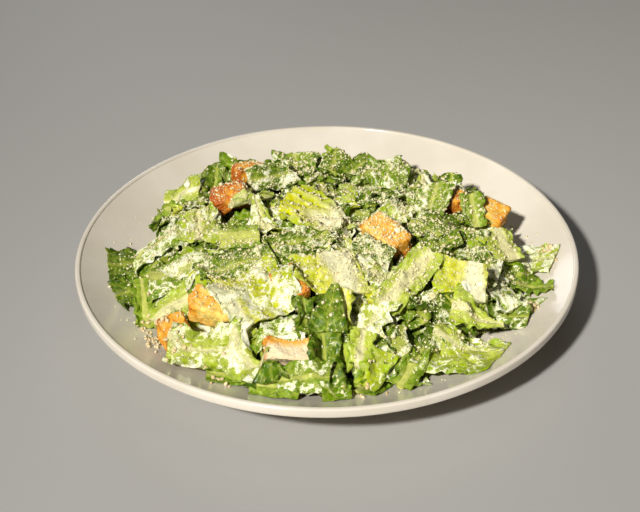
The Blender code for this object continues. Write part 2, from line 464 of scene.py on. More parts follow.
    def find_faces(self, leaf, keel):
        """How far the upper and lower faces lie from the sheet's middle: thin margins, the rib below."""
        edge = 1 - np.abs(self.w)
        thin = 0.45 + 0.55 * smoothstep(0.0, 0.12, edge)
        if leaf.shape == "blob":
            thin = np.sqrt(edge * (2 - edge)) * outline("blob", self.u)
        half = KINDS[leaf.kind].thickness / 2 * thin
        self.top = half + FILM_THICKNESS * self.film * thin * smoothstep(0.0, 0.2, edge)
        self.bottom = half + keel

    def colour(self, leaf, seed):
        """Base colour at each grid point, linear RGB."""
        kind = KINDS[leaf.kind]
        from_rib = np.abs(self.across)
        mottle = 0.5 + 0.5 * self.noise(8, 8, seed + 11)
        near = np.exp(-np.maximum(0, from_rib - leaf.rib) / 7.0) if leaf.rib else 0.25
        outer = np.clip(0.15 + 0.75 * np.abs(self.w) ** 1.6 + 0.45 * (mottle - 0.5) - 0.45 * near, 0, 1)
        streak = 0.5 + 0.5 * self.noise(16, 1.6, seed + 12)
        ribbed = np.clip(self.ribbed + 0.35 * near * streak, 0, 1)
        if leaf.shape == "fan":
            base = 1 - smoothstep(0.22, 0.55, self.u + 0.10 * noise2(self.across / 4, 0.5, seed + 18))
            ribbed = np.maximum(ribbed * (1 - smoothstep(0.4, 0.8, self.u)), base)
        blade = lerp(kind.blade, kind.margin, outer)
        rib = np.array(kind.rib) * (0.86 + 0.14 * streak)[..., None]
        colour = lerp(blade, rib, ribbed)
        # Pleat valleys of a fan: a greener blade there, plus painted shade from the margin colour darkened.
        colour = lerp(colour, np.array(kind.margin) * 0.8, 0.7 * self.valley_green_and_shade * (1 - ribbed))
        return lerp(colour, np.array(kind.rib) * 0.9, 0.38 * self.vein * (1 - ribbed))


def lerp(first, second, share):
    """Colours between two colours or grids of colours, by a grid of shares."""
    share = np.asarray(share)[..., None]
    return np.asarray(first) * (1 - share) + np.asarray(second) * share


def bent_line(angles, steps):
    """Places ahead and up along each row of a grid, from the angle at each point and the steps between."""
    mean = (angles[:, 1:] + angles[:, :-1]) / 2
    start = np.zeros((len(angles), 1))
    ahead = np.concatenate([start, np.cumsum(np.cos(mean) * steps, axis=1)], axis=1)
    up = np.concatenate([start, np.cumsum(np.sin(mean) * steps, axis=1)], axis=1)
    return ahead, up


def bent(sheet, leaf, seed):
    """The sheet bent in space about its own middle: across its rib, twisted, then along its length."""
    degree = math.radians(1)
    lean = leaf.cup * sheet.across / (leaf.width / 2) + leaf.fold * np.tanh(sheet.across / 3.0)
    lean = (lean + 14 * noise2(sheet.row / 15, sheet.across / 12, seed + 13)) * degree
    y, z = bent_line(lean, np.diff(sheet.across, axis=1))
    middle = np.argmin(np.abs(sheet.w[0]))
    y = y - y[:, [middle]] - np.sin(lean) * sheet.height
    z = z - z[:, [middle]] + np.cos(lean) * sheet.height
    twist = leaf.twist * (sheet.u - 0.5) * degree
    y, z = y * np.cos(twist) - z * np.sin(twist), y * np.sin(twist) + z * np.cos(twist)
    u = sheet.u[:, :1]
    pitch = (leaf.bend * (u - 0.5) + 10 * noise2(u * 2.2, 0.3, seed + 14)) * degree
    centre_x, centre_z = bent_line(pitch.T, np.diff(sheet.row[:, :1].T, axis=1))
    centre_x = (centre_x - centre_x.mean()).T
    centre_z = (centre_z - centre_z.mean()).T
    ahead = sheet.along - sheet.row
    x_out = centre_x + np.cos(pitch) * ahead - np.sin(pitch) * z
    z_out = centre_z + np.sin(pitch) * ahead + np.cos(pitch) * z
    return np.stack([x_out, y, z_out], axis=-1)


def settled(points, sheet, leaf, heap):
    """The leaf lowered on to the heap: it rests on the high spots and sags a little between them."""
    gap = points[..., 2] - sheet.bottom - heap.under(points[..., 0], points[..., 1])
    limit = min(leaf.limit, HEAP_LIMIT)
    drop = max(np.percentile(gap, SUNK_PERCENT) - leaf.lift, (points[..., 2] + sheet.top).max() - limit)
    gap = gap - drop
    push = smooth_grid(np.maximum(0.0, REST_GAP - gap), PUSH_SMOOTHING) * PUSH
    sag = leaf.soft * smooth_grid(np.maximum(0.0, gap), SAG_SMOOTHING)
    moved = points.copy()
    moved[..., 2] += push - sag - drop
    moved[..., 2] = np.minimum(moved[..., 2], limit)
    floor = inner_height(np.hypot(moved[..., 0], moved[..., 1])) + sheet.bottom + PLATE_GAP
    moved[..., 2] = np.maximum(moved[..., 2], floor)
    return moved


def grid_normals(points):
    along = np.gradient(points, axis=0)
    across = np.gradient(points, axis=1)
    normals = np.cross(along, across)
    return normals / np.maximum(np.linalg.norm(normals, axis=-1, keepdims=True), 1e-9)


def shell_faces(rows, columns):
    """Quads of a closed shell: an upper grid, the lower grid after it, and the strip that joins them."""
    index = np.arange(rows * columns).reshape(rows, columns)
    a, b = index[:-1, :-1].ravel(), index[1:, :-1].ravel()
    c, d = index[1:, 1:].ravel(), index[:-1, 1:].ravel()
    upper = np.stack([a, b, c, d], axis=1)
    lower = upper[:, ::-1] + rows * columns
    loop = np.concatenate([index[:-1, 0], index[-1, :-1], index[:0:-1, -1], index[0, :0:-1]])
    following = np.roll(loop, -1)
    strip = np.stack([following, loop, loop + rows * columns, following + rows * columns], axis=1)
    return np.concatenate([upper, lower, strip])


class Batch:
    """Leaf shells gathered to be one mesh, with the values that their material reads."""

    def __init__(self):
        self.points, self.faces, self.tints = [], [], []
        self.values = {name: [] for name in ("film", "vein", "crest", "plain", "dust")}
        self.count = 0

    def add(self, sheet, points, tint):
        normals = grid_normals(points)
        upper = points + normals * sheet.top[..., None]
        lower = points - normals * sheet.bottom[..., None]
        self.faces.append(shell_faces(*points.shape[:2]) + self.count)
        self.points += [upper.reshape(-1, 3), lower.reshape(-1, 3)]
        self.tints += [tint.reshape(-1, 3)] * 2
        self.count += 2 * sheet.w.size
        level = smoothstep(0.1, 0.6, np.abs(normals[..., 2]))
        above = {
            "film": sheet.film,
            "vein": sheet.vein * (1 - sheet.ribbed),
            "crest": sheet.crest,
            "plain": 1 - 0.8 * sheet.ribbed,
            "dust": cheese_thickness(points[..., 0], points[..., 1]) * level * sheet.dusting,
        }
        below = above | {"film": sheet.film * UNDERSIDE_FILM}
        for name, gathered in self.values.items():
            gathered += [above[name].ravel(), below[name].ravel()]

    def build(self, name, material):
        piece = make_piece(name, np.concatenate(self.points), np.concatenate(self.faces), material)
        tints = np.concatenate(self.tints)
        colours = np.concatenate([tints, np.ones((len(tints), 1))], axis=1)
        set_attribute(piece, "tint", colours, form="FLOAT_COLOR", key="color")
        for value_name, gathered in self.values.items():
            set_attribute(piece, value_name, np.concatenate(gathered))
        return piece


def new_object(name, data):
    """An object in the scene that shows the given mesh, lamp or camera."""
    made = bpy.data.objects.new(name, data)
    bpy.context.scene.collection.objects.link(made)
    return made


def set_points(mesh, points):
    """Puts a mesh's points at places given in mm."""
    mesh.vertices.foreach_set("co", (points * MM).astype(np.float32).ravel())


def make_piece(name, points, faces, material, smooth=True):
    """A mesh object from points in mm and equal-sided faces."""
    sides = faces.shape[1]
    mesh = bpy.data.meshes.new(name)
    mesh.vertices.add(len(points))
    set_points(mesh, points)
    mesh.loops.add(faces.size)
    mesh.loops.foreach_set("vertex_index", faces.astype(np.int32).ravel())
    mesh.polygons.add(len(faces))
    mesh.polygons.foreach_set("loop_start", np.arange(0, faces.size, sides, dtype=np.int32))
    mesh.update(calc_edges=True)
    mesh.validate()
    if smooth:
        mesh.shade_smooth()
        mesh.set_sharp_from_angle(angle=CREASE_ANGLE)
    mesh.materials.append(material)
    return new_object(name, mesh)


def set_attribute(piece, name, values, form="FLOAT", key="value"):
    attribute = piece.data.attributes.new(name, form, "POINT")
    attribute.data.foreach_set(key, values.astype(np.float32).ravel())


def surface_tree(pieces):
    """One search tree over the meshes of several pieces."""
    points, faces, count = [], [], 0
    for piece in pieces:
        mesh = piece.data
        co = np.empty(len(mesh.vertices) * 3, np.float32)
        mesh.vertices.foreach_get("co", co)
        points.append(co.reshape(-1, 3))
        faces += [tuple(v + count for v in polygon.vertices) for polygon in mesh.polygons]
        count += len(mesh.vertices)
    return BVHTree.FromPolygons(np.concatenate(points).tolist(), faces)


def lay_leaf(leaf, seed, heap, batches, blocked=None, step=BURIED_STEP):
    """Makes one leaf and lays it on the heap, unless it would hide something; says whether it did."""
    sheet = Sheet(leaf, seed, step)
    points = bent(sheet, leaf, seed) @ rotation(leaf.turn, leaf.rise, leaf.roll).T
    if leaf.hug:
        _, rise_x, rise_y = heap.mean(leaf.x, leaf.y, HUG_REACH * leaf.length)
        points = points @ slope_rotation(rise_x, rise_y).T
    points = points + np.array([leaf.x, leaf.y, 0.0])
    points = settled(points, sheet, leaf, heap)
    if blocked is not None and blocked(points):
        return False
    batches[leaf.kind].add(sheet, points, sheet.colour(leaf, seed))
    heap.add(points + grid_normals(points) * sheet.top[..., None])
    return True


# ---- where the leaves lie


KIND_SHARES = {"dark": 0.40, "mid": 0.34, "pale": 0.18, "heart": 0.08}
SORT_SHARES = {"blade": 28, "ribbed": 30, "rib": 12, "tip": 18, "scrap": 12}
BACK_FILM = 0.25  # how much more dressing the back of the heap has than its front
STRAY = 5.5  # how far a random leaf may stick out above the mound

# First seed of each layer of leaves.
SKIRT_SEED = SEED * 1000
BODY_SEED = SKIRT_SEED + 100
COVER_SEED = SKIRT_SEED + 500
FEATURED_SEED = SKIRT_SEED + 2000
SCRAP_SEED = SKIRT_SEED + 3000
DRESSING_SEED = SKIRT_SEED + 4000


def draw(chance, shares):
    """One of the names, each as likely as its share says."""
    return chance.choices(list(shares), list(shares.values()))[0]


def random_leaf(chance, kind, x, y, turn, scale=1.0):
    """A leaf piece of a common sort: blade, ribbed piece, bare rib, tip or crumpled scrap."""
    sort = draw(chance, SORT_SHARES)
    film = chance.uniform(0.15, 0.9) + BACK_FILM * (y / HEAP_RADIUS + 1) / 2
    limit = mound_height(math.hypot(x, y)) + STRAY
    common = dict(kind=kind, x=x, y=y, turn=turn, hug=True, film=film, soft=0.24, limit=limit)
    common |= dict(
        bend=chance.uniform(-60, 55), cup=chance.uniform(-45, 55), twist=chance.uniform(-30, 30),
        rise=chance.gauss(0, 27), roll=chance.gauss(0, 28),
    )
    size = chance.uniform(0.7, 1.15) * scale
    if sort == "blade":
        return Leaf(**common, length=33 * size, width=27 * size, rib=0, frill=2.0)
    if sort == "ribbed":
        return Leaf(
            **common, length=34 * size, width=30 * size, rib=3.6 * size, rib_high=2.0,
            rib_at=chance.uniform(-0.5, 0.5), fold=chance.uniform(0, 22), frill=2.2,
        )
    if sort == "rib":
        return Leaf(**common, length=28 * size, width=15 * size, rib=5.2 * size, rib_high=2.6, frill=1.0)
    if sort == "tip":
        return Leaf(
            **common, length=32 * size, width=30 * size, rib=2.0, rib_high=1.0, shape="tip", frill=2.8
        )
    return Leaf(**common, length=20 * size, width=16 * size, rib=0, frill=2.4, shape="wedge")


def lay_skirt(heap, batches, chance):
    """The outermost leaves, lying on the plate's wall and pointing outwards."""
    for i in range(SKIRT_LEAVES):
        angle = i * GOLDEN_ANGLE
        reach = edge_reach(angle) - chance.uniform(12, 26)
        x, y = reach * math.cos(angle), reach * math.sin(angle)
        turn = math.degrees(angle) + chance.uniform(-65, 65)
        leaf = random_leaf(chance, draw(chance, KIND_SHARES), x, y, turn, scale=0.9)
        lay_leaf(leaf, SKIRT_SEED + i, heap, batches)


def lay_body(heap, batches, chance, count, first_seed, below, scale, blocked=None):
    """Leaves over the whole heap, each where the heap is still lowest among a few places."""
    laid = 0
    for attempt in range(4 * count):
        if laid == count:
            break
        places = []
        for _ in range(8):
            reach, x, y = random_place(chance, inset=12)
            level, _, _ = heap.mean(x, y, 10)
            places.append((mound_height(reach) - level + chance.uniform(0, 2.5), x, y))
        missing, x, y = max(places)
        if missing < below:
            break
        leaf = random_leaf(chance, draw(chance, KIND_SHARES), x, y, chance.uniform(0, 360), scale)
        laid += lay_leaf(leaf, first_seed + attempt, heap, batches, blocked)


# Leaves laid at random may cover this crouton; of the others they leave the middle share clear.
COVERED_CROUTON = "crouton_9"
CLEAR_SHARE = 0.35


class KeepClear:
    """Tells whether a leaf would hide a crouton: it looks at the crouton's middle, a little to the front."""

    def __init__(self, croutons):
        self.spots = []
        for piece in croutons:
            low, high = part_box(piece)
            centre = (low + high) / 2 / MM
            size = (high - low) / MM
            front = centre.y - 0.15 * size.y
            self.spots.append((centre.x, front, CLEAR_SHARE * size.x, CLEAR_SHARE * size.y))

    def __call__(self, points):
        ahead, aside = points[..., 1], points[..., 0]
        return any(
            (((aside - x) / reach_x) ** 2 + ((ahead - y) / reach_y) ** 2 < 1).any()
            for x, y, reach_x, reach_y in self.spots
        )


dark, mid, pale, heart = (partial(Leaf, kind) for kind in ROMAINE)

# Leaves that stand out, from the back of the dish to its front: x, y, turn, length, width and the rest.
FEATURED = (
    # back edge
    dark(-70, 62, 80, 26, 20, rise=38, film=0.5, frill=2.2, rib=2.5),
    mid(-18, 69, 95, 24, 24, rise=38, bend=-15, cup=-12, film=0.6, frill=1.6, rib=2.4, lift=2),
    dark(5, 69, 85, 20, 19, rise=34, bend=-20, cup=-12, film=0.4, frill=1.4, rib=1.6, shape="tip", lift=2),
    dark(18, 63, 35, 20, 14, rise=24, fold=45, film=0.15, rib=1.5, lift=1),
    mid(35, 52, 80, 22, 25, rise=38, film=0.6, rib=0, cup=-15),
    pale(57, 42, 95, 23, 26, rise=36, film=0.7, rib=2.2, shape="wedge", frill=1.2),
    dark(73, 50, 85, 23, 13, rise=52, fold=35, film=0.15, frill=2.6, rib=1.4),
    dark(86, 46, 20, 18, 14, film=0.7, hug=True, rib=0),
    mid(59, 17, 70, 28, 20, rise=34, film=0.6, rib=1.6, lift=2, soft=0.2),
    mid(83, 17, 100, 20, 13, rise=46, film=0.45, frill=2.4, rib=2.0, lift=3, soft=0.1),
    dark(-65, 55, 80, 27, 14, rise=44, fold=55, film=0.05, rib=1.6, frill=1.2),
    mid(-56, 65, 95, 22, 12, rise=48, film=0.5, rib=0),
    dark(-44, 73, 15, 22, 12, film=0.1, fold=35, rib=1.2, hug=True, lift=2),
    dark(-32, 45, 20, 27, 17, roll=40, film=0.7, rib=1.5, lift=4, soft=0.05),
    # left side
    pale(-84, 49, 4, 21, 28, roll=50, film=0.35, rib=3.4, rib_at=0.15, frill=1.2, cup=-10),
    mid(-91, 41, 160, 18, 11, film=0.2, hug=True, rib=1.5),
    dark(-109, 3, 195, 32, 29, film=0.05, frill=2.6, rib=2.4, hug=True, bend=-40, soft=0.7),
    dark(-105, -21, 215, 29, 26, film=0.0, frill=2.8, rib=2.0, hug=True, bend=-30, soft=0.7),
    mid(-91, -2, 12, 37, 20, film=0.85, rib=2.5, hug=True, bend=-20),
    pale(-71, 4, 95, 26, 22, rise=26, film=0.6, frill=2.4, rib=2.2, cup=-20, lift=2),
    mid(-99, -40, 100, 32, 13, rise=34, film=0.2, rib=2.2, fold=20),
    mid(-77, -31, 14, 38, 23, roll=18, film=0.85, rib=2.8, rib_at=0.3, cup=-20),
    dark(-49, -37, 8, 44, 24, roll=10, film=0.5, rib=2.0, hug=True),
    pale(-82, -54, 30, 22, 18, rise=14, film=0.25, rib=4.0, roll=14),
    # middle
    mid(-45, 9, 20, 18, 12, rise=10, roll=20, film=0.05, rib=0),
    pale(-42, 17, 20, 24, 10, roll=-30, film=0.3, rib=3.6, rib_high=2.6, lift=5, soft=0.1),
    mid(-47, -23, 4, 22, 13, roll=44, film=0.1, rib=5.5, rib_high=3.6, frill=0.4, bend=8, soft=0.1),
    dark(-14, -20, 25, 34, 21, film=0.6, rib=2.0, hug=True, roll=20, bend=-20),
    pale(-35, -1, 108, 38, 26, rise=36, film=0.65, rib=1.8, shape="wedge", frill=0.8, soft=0.1),
    heart(
        -7, 5, 152, 41, 35, rise=16, roll=-4, film=0.05, rib=5, rib_high=2.6, shape="fan", frill=3.0,
        cup=24, lift=3, soft=0.1,
    ),
    pale(23, -46, 10, 34, 24, film=0.75, rib=2.6, roll=24, rise=-8, hug=True, lift=1),
    dark(25, -32, -42, 27, 14, roll=32, film=0.7, rib=0, lift=3, soft=0.2),
    dark(59, -7, 150, 31, 23, film=0.5, rib=2.2, rise=14, roll=-24, lift=1),
    dark(64, -16, 20, 22, 12, film=0.0, rib=1.0, rise=20, roll=26, fold=30),
    # right side
    mid(102, -38, -40, 26, 22, film=0.8, rib=2.0, hug=True, frill=2.4),
    dark(96, -52, -20, 24, 18, film=0.7, rib=1.6, hug=True, frill=2.2, lift=1),
    dark(106, -18, 40, 22, 18, rise=14, film=0.4, rib=1.4, hug=True, frill=2.4),
    pale(117, 1, -25, 25, 26, film=0.85, rib=1.8, hug=True, frill=2.2),
    pale(99, -5, 112, 23, 29, rise=28, film=0.4, rib=4.5, rib_at=-0.5, frill=1.4, cup=-10, lift=1),
    mid(114, -28, -12, 20, 11, film=0.1, rib=1.2, hug=True, frill=2.0, lift=1),
    mid(93, -40, -70, 30, 20, film=1.0, rib=2.0, hug=True, lift=1),
    dark(86, -31, 70, 22, 16, rise=18, film=0.8, rib=1.6),
    heart(
        78, -51, 84, 21, 28, rise=44, film=0.05, rib=7.0, rib_high=2.8, rib_at=-0.55, frill=2.2,
        soft=0.1, lift=1,
    ),
    pale(
        42, -54, 52, 46, 18, rise=14, bend=38, roll=18, film=0.25, rib=4.5, rib_high=3.0, frill=1.0,
        soft=0.15, lift=2,
    ),
    # front
    heart(8, -49, -72, 30, 37, rise=-22, film=0.5, rib=8.5, rib_at=0.5, rib_high=2.0, frill=1.8, lift=2),
    mid(-24, -84, 12, 24, 18, roll=24, film=0.8, rib=0, lift=1, soft=0.2),
    heart(
        -50, -75, -56, 34, 42, rise=-6, film=0.8, rib=5.0, rib_at=-0.75, rib_high=1.8, frill=1.8,
        cup=-8, soft=0.3, lift=1,
    ),
    pale(79, -66, -12, 28, 20, rise=-8, roll=8, film=0.35, rib=2.0, shape="wedge", soft=0.3),
    pale(73, -84, -8, 38, 31, film=0.6, rib=1.0, rib_at=0.4, hug=True, bend=-14, frill=1.4, soft=0.5),
    mid(43, -99, 62, 28, 15, roll=14, film=0.35, rib=2.2, hug=True, cup=30),
    pale(24, -78, 62, 21, 19, rise=28, film=0.95, rib=2.5, frill=2.2, cup=30, lift=1),
    dark(-11, -78, 100, 25, 14, rise=40, fold=45, film=0.15, rib=1.5, frill=2.2),
    pale(17, -96, 82, 23, 16, rise=36, bend=45, film=0.2, rib=2.2, frill=2.6, cup=35),
    heart(9, -80, 84, 24, 9, rise=48, film=0.1, rib=1.2, frill=2.2, cup=25, lift=3, soft=0.1),
    dark(-2, -95, 96, 42, 20, rise=38, fold=36, film=-0.1, rib=1.5, frill=1.2, soft=0.2),
    dark(
        2, -82, 78, 27, 25, rise=38, fold=6, film=-0.6, rib=0.6, shape="wedge", frill=0.2, soft=0.1,
        lift=1,
    ),
    # front edge
    dark(-2, -111, -16, 25, 15, film=0.5, rib=2.0, hug=True, frill=2.0, limit=36),
    mid(-50, -97, 4, 25, 17, film=0.0, rib=2.0, hug=True, frill=0.8, limit=34),
    mid(-27, -114, -10, 26, 13, film=0.1, rib=1.4, roll=38, frill=1.0, lift=2, soft=0.2, limit=36),
    mid(-12, -113, 5, 26, 15, film=0.6, rib=1.4, roll=40, frill=1.2, lift=4, soft=0.15, limit=39),
    dark(-31, -110, 8, 25, 10, film=0.3, rib=0, hug=True, cup=35, frill=3.0, limit=37),
    pale(-64, -89, -7, 35, 23, roll=44, film=0.75, rib=2.0, frill=3.2, soft=0.3, lift=1, limit=49),
    pale(
        -41, -99, -46, 25, 18, film=0.75, rib=4.0, rib_at=0.3, rib_high=2.4, hug=True, bend=-38,
        frill=2.4, soft=0.4, limit=45,
    ),
    pale(24, -104, 60, 22, 14, film=0.4, rib=0, hug=True, cup=20, frill=2.2),
    mid(4, -117, 10, 16, 10, film=0.6, rib=0, hug=True),
    # over the hidden croutons at the right
    dark(71, 32, 8, 19, 10, film=0.7, hug=True, rib=0, lift=1, soft=0.2),
)


def lay_scraps(heap, batches, chance, blocked):
    """Small torn bits of leaf that stick out between the large ones."""
    for i in range(SCRAPS):
        reach, x, y = random_place(chance, inset=6)
        kind = draw(chance, KIND_SHARES)
        scrap = Leaf(
            kind, x, y, chance.uniform(0, 360), chance.uniform(9, 17), chance.uniform(6, 13),
            rise=chance.gauss(0, 28), roll=chance.gauss(0, 28), bend=chance.uniform(-60, 60), rib=0,
            cup=chance.uniform(-40, 40), frill=1.2, film=chance.uniform(0.0, 0.8), soft=0.25, hug=True,
            shape=chance.choice(("cut", "wedge", "tip")), limit=mound_height(reach) + STRAY,
        )
        lay_leaf(scrap, SCRAP_SEED + i, heap, batches, blocked, step=SCRAP_STEP)


def lay_dressing(heap, batches, chance):
    """Dressing that has dropped or gathered in spots."""
    for i in range(DRESSING_DROPS):
        _, x, y = random_place(chance, inset=3)
        length = chance.uniform(3, 6.5)
        smear = Leaf(
            "dressing", x, y, chance.uniform(0, 360), length, length * chance.uniform(0.5, 0.9), rib=0,
            frill=0, shape="blob", film=0, soft=1.0, hug=True,
        )
        lay_leaf(smear, DRESSING_SEED + i, heap, batches, step=length / 12)


def lay_leaves(buried, shown):
    """Lays every leaf: the random ones from the plate upwards, then those that stand out."""
    heap = HeapMap()
    chance = random.Random(SEED)
    lay_skirt(heap, buried, chance)
    lay_body(heap, buried, chance, BODY_LEAVES, BODY_SEED, below=3.0, scale=1.0)
    heap.cover(surface_tree([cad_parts[name] for name in CROUTONS]))
    blocked = KeepClear([name for name in CROUTONS if name != COVERED_CROUTON])
    lay_body(heap, buried, chance, COVER_LEAVES, COVER_SEED, below=1.5, scale=0.85, blocked=blocked)
    lay_scraps(heap, buried, chance, blocked)
    for i, leaf in enumerate(FEATURED):
        lay_leaf(leaf, FEATURED_SEED + i, heap, shown, step=SHOWN_STEP)
    lay_dressing(heap, shown, chance)


# ---- croutons, cheese, core and plate


def remeshed(node, name, voxel, material):
    """A copy of a CAD node as an even, fine mesh."""
    piece = new_object(name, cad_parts[node].data.copy())
    remesh = piece.modifiers.new("even", "REMESH")
    remesh.mode = "VOXEL"
    remesh.voxel_size = voxel * MM
    remesh.use_smooth_shade = True
    depsgraph = bpy.context.evaluated_depsgraph_get()
    mesh = bpy.data.meshes.new_from_object(piece.evaluated_get(depsgraph))
    piece.modifiers.clear()
    piece.data = mesh
    mesh.name = name
    mesh.materials.clear()
    mesh.materials.append(material)
    return piece


def vertex_arrays(piece):
    mesh = piece.data
    points = np.empty(len(mesh.vertices) * 3, np.float32)
    normals = np.empty(len(mesh.vertices) * 3, np.float32)
    mesh.vertices.foreach_get("co", points)
    mesh.vertex_normals.foreach_get("vector", normals)
    return points.reshape(-1, 3).astype(float) / MM, normals.reshape(-1, 3).astype(float)


def noise3(points, scale, seed):
    """Smooth noise in space from three planes of noise."""
    x, y, z = (points / scale).T
    total = noise2(x + 0.7 * z, y - 0.5 * z, seed) + noise2(y + 0.6 * x, z - 0.4 * x, seed + 1)
    return (total + noise2(z + 0.5 * y, x - 0.7 * y, seed + 2)) / 1.9


# How brown each crouton is, in order, and for the one cut open, which way its pale crumb faces.
TOASTED = dict(zip(CROUTONS, (0.75, 0.92, 0.40, 0.55, 0.22, 0.55, 0.50, 0.45, 0.70)))
CUT_OPEN = {"crouton_7": (0.0, -0.97, -0.24)}

# Crust: the step of its mesh, and how far worn faces, pores and the pale crumb lie inside the solid.
CRUST_STEP = 0.75
CRUST_INSET = 0.35
PORE_DEPTH = 0.9
CRUMB_DEPTH = 0.6


def crumb_share(node, points, centre):
    """How far the pale crumb shows at each point: on the cut side, inside a rim of crust."""
    if node not in CUT_OPEN:
        return np.zeros(len(points))
    towards = np.array(CUT_OPEN[node])
    sideways = np.array([-towards[1], towards[0], 0]) / math.hypot(towards[0], towards[1])
    ahead = (points - centre) @ towards
    aside = np.abs((points - centre) @ sideways)
    uneven = 0.12 * noise3(points, 3.0, 77)
    crust = smoothstep(0.70, 0.9, aside / aside.max())
    return smoothstep(-0.25, 0.15, ahead / ahead.max() + uneven) * (1 - crust)


def make_crouton(node, seed, material):
    """Toasted bread: worn and wobbly faces with pores, browner at its edges, and pale where it is cut."""
    piece = remeshed(node, node + "_toast", CRUST_STEP, material)
    points, normals = vertex_arrays(piece)
    pores = smoothstep(0.35, 0.85, noise3(points, 2.2, seed))
    rough = 0.35 * noise3(points, 1.3, seed + 20) + 0.5 * noise3(points, 4.5, seed + 30)
    centre = points.mean(axis=0)
    far = np.linalg.norm(points - centre, axis=1)
    crumb = crumb_share(node, points, centre)
    points += normals * (rough - PORE_DEPTH * pores - CRUMB_DEPTH * crumb - CRUST_INSET)[:, None]
    set_points(piece.data, points)
    patches = noise3(points, 7.0, seed + 40)
    level = TOASTED[node] + 0.35 * patches + 0.35 * smoothstep(0.70, 1.0, far / far.max())
    set_attribute(piece, "toasted", np.clip(level, 0, 1.2))
    set_attribute(piece, "pores", pores)
    set_attribute(piece, "crumb", crumb)
    piece.data.update()
    return piece


def turned_mesh(name, profile, steps, material):
    """A closed body turned about Z from (r, z) points that start and end on the axis."""
    radii = np.array([r for r, _ in profile[1:-1]])
    heights = np.array([z for _, z in profile[1:-1]])
    angles = np.arange(steps) * math.tau / steps
    x, y = np.outer(radii, np.cos(angles)), np.outer(radii, np.sin(angles))
    rings = np.stack([x, y, np.repeat(heights[:, None], steps, axis=1)], axis=-1)
    poles = np.array([[0, 0, profile[0][1]], [0, 0, profile[-1][1]]])
    index = np.arange(rings.shape[0] * steps).reshape(-1, steps)
    beside = np.roll(index, -1, axis=1)
    quads = np.stack([index[:-1], index[1:], beside[1:], beside[:-1]], axis=-1).reshape(-1, 4)
    first, last = index[0], index[-1]
    top_pole, low_pole = index.size, index.size + 1
    triangles = [(top_pole, a, b) for a, b in zip(first, np.roll(first, -1))]
    triangles += [(low_pole, b, a) for a, b in zip(last, np.roll(last, -1))]
    mesh = bpy.data.meshes.new(name)
    points = np.concatenate([rings.reshape(-1, 3), poles]) * MM
    mesh.from_pydata(points.tolist(), [], quads.tolist() + [tuple(int(i) for i in t) for t in triangles])
    mesh.shade_smooth()
    mesh.set_sharp_from_angle(angle=TURNED_CREASE_ANGLE)
    mesh.materials.append(material)
    return new_object(name, mesh)


def arc(centre_r, centre_z, radius, start, end, steps=5):
    """Points of a round edge between two angles in degrees."""
    angles = [math.radians(start + (end - start) * i / steps) for i in range(steps + 1)]
    return [(centre_r + radius * math.cos(a), centre_z + radius * math.sin(a)) for a in angles]


def plate_profile():
    """(r, z) from the floor's middle out to the lip, over it, and down the outside to the foot."""
    lip_radius = RIM_RADIUS - LIP_WIDTH
    profile = [(0.0, FLOOR_TOP), (20.0, FLOOR_TOP), (40.0, FLOOR_TOP)]
    for radius in np.linspace(FLOOR_RADIUS, lip_radius, 26)[:-1]:
        profile.append((float(radius), float(inner_height(radius))))
    profile += arc(lip_radius + LIP_ROUND, RIM_TOP - LIP_ROUND, LIP_ROUND, 180, 90)
    profile += arc(RIM_RADIUS - LIP_ROUND, RIM_TOP - LIP_ROUND, LIP_ROUND, 90, 0)
    wall_bottom = RIM_TOP - OUTER_WALL_DROP
    profile += arc(RIM_RADIUS - LIP_WIDTH / 2, wall_bottom, LIP_WIDTH / 2, 0, -90)
    outermost = lip_radius - LIP_WIDTH
    for radius in np.linspace(outermost, FOOT_OUTER_RADIUS + LIP_WIDTH, 14):
        profile.append((float(radius), float(inner_height(radius)) - WALL_THICKNESS))
    profile += [(FOOT_OUTER_RADIUS + LIP_ROUND, FOOT_HEIGHT), (FOOT_OUTER_RADIUS, FOOT_BEVEL)]
    profile += [(FOOT_OUTER_RADIUS - FOOT_BEVEL, 0.0), (FOOT_INNER_RADIUS + FOOT_BEVEL, 0.0)]
    profile += [(FOOT_INNER_RADIUS, FOOT_BEVEL)]
    profile += [(FOOT_INNER_RADIUS - LIP_ROUND, RECESS_HEIGHT), (30.0, RECESS_HEIGHT), (0.0, RECESS_HEIGHT)]
    return profile


def core_profile():
    """(r, z) over the top of the core from its middle, and back just above the plate."""
    radii = np.linspace(0, CORE_RADIUS, CORE_STEPS)[:-1]
    top = [(float(r), float(core_height(r)) - 0.5) for r in radii]
    under = [(float(r), float(inner_height(r)) + 0.4) for r in (98.0, 88.0, 76.0, 60.0, 0.0)]
    return top + under


def make_core(material):
    """The middle of the heap: a mound of folds that shows only between the leaves, coloured near-black green
    as painted shade.
    """
    core = turned_mesh("salad_core", core_profile(), CORE_TURNS, material)
    points, normals = vertex_arrays(core)
    x, y = points[:, 0], points[:, 1]
    lumps = 2.2 * noise2(x / 11, y / 11, 5) + 1.2 * noise2(x / 4, y / 4, 6)
    upwards = smoothstep(0.2, 0.6, normals[:, 2])
    points[:, 2] += lumps * upwards - upwards
    set_points(core.data, points)
    return core


